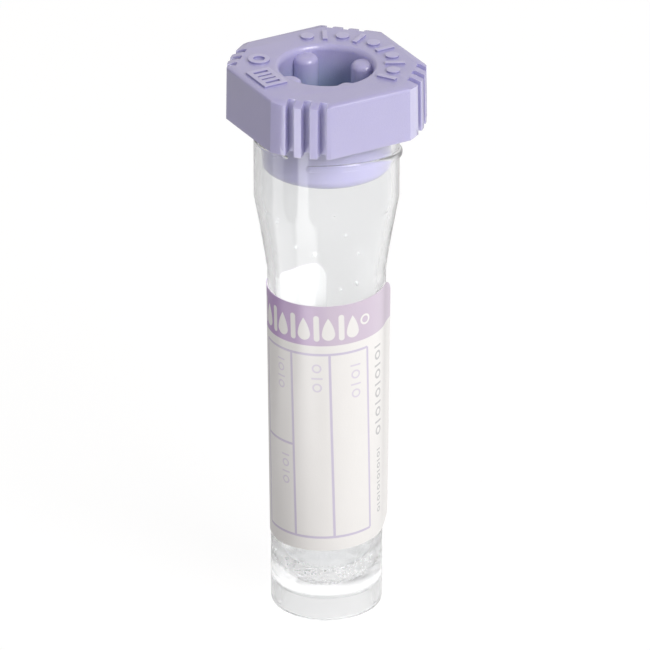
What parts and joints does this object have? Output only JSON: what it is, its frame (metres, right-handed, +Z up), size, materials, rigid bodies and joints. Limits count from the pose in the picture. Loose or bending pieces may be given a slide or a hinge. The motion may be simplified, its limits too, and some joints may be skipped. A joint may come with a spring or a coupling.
{
  "type": "blood collection tube",
  "caption": "Small clear blood collection tube with a hollow standing foot, a wrapped paper label and a push-in lavender cap that lifts off.",
  "frame": {"origin": "centre of the ring-shaped foot on the surface that the tube stands on", "axes": "+Z up along the tube's axis to the cap, +X and +Y square to the plain sides of the cap's head; +Y is the side on which the label leaves a window"},
  "size_m": [0.0134, 0.0134, 0.0448],
  "materials": {
    "clear_plastic": "clear, glossy polypropylene",
    "lavender_plastic": "fine matt moulded polyethylene",
    "label_paper": "white self-adhesive label with a purple band and thin form lines",
    "dried_additive": "clear dried drops"
  },
  "bodies": {
    "tube_body": {"tube": "clear_plastic", "label": "label_paper", "additive_droplets": "dried_additive"},
    "cap_body": {"cap": "lavender_plastic"}
  },
  "joints": [
    {"name": "cap_lift", "type": "slide", "parent": "tube_body", "child": "cap_body", "axis": [0, 0, 1], "range_m": [0, 0.012]}
  ]
}
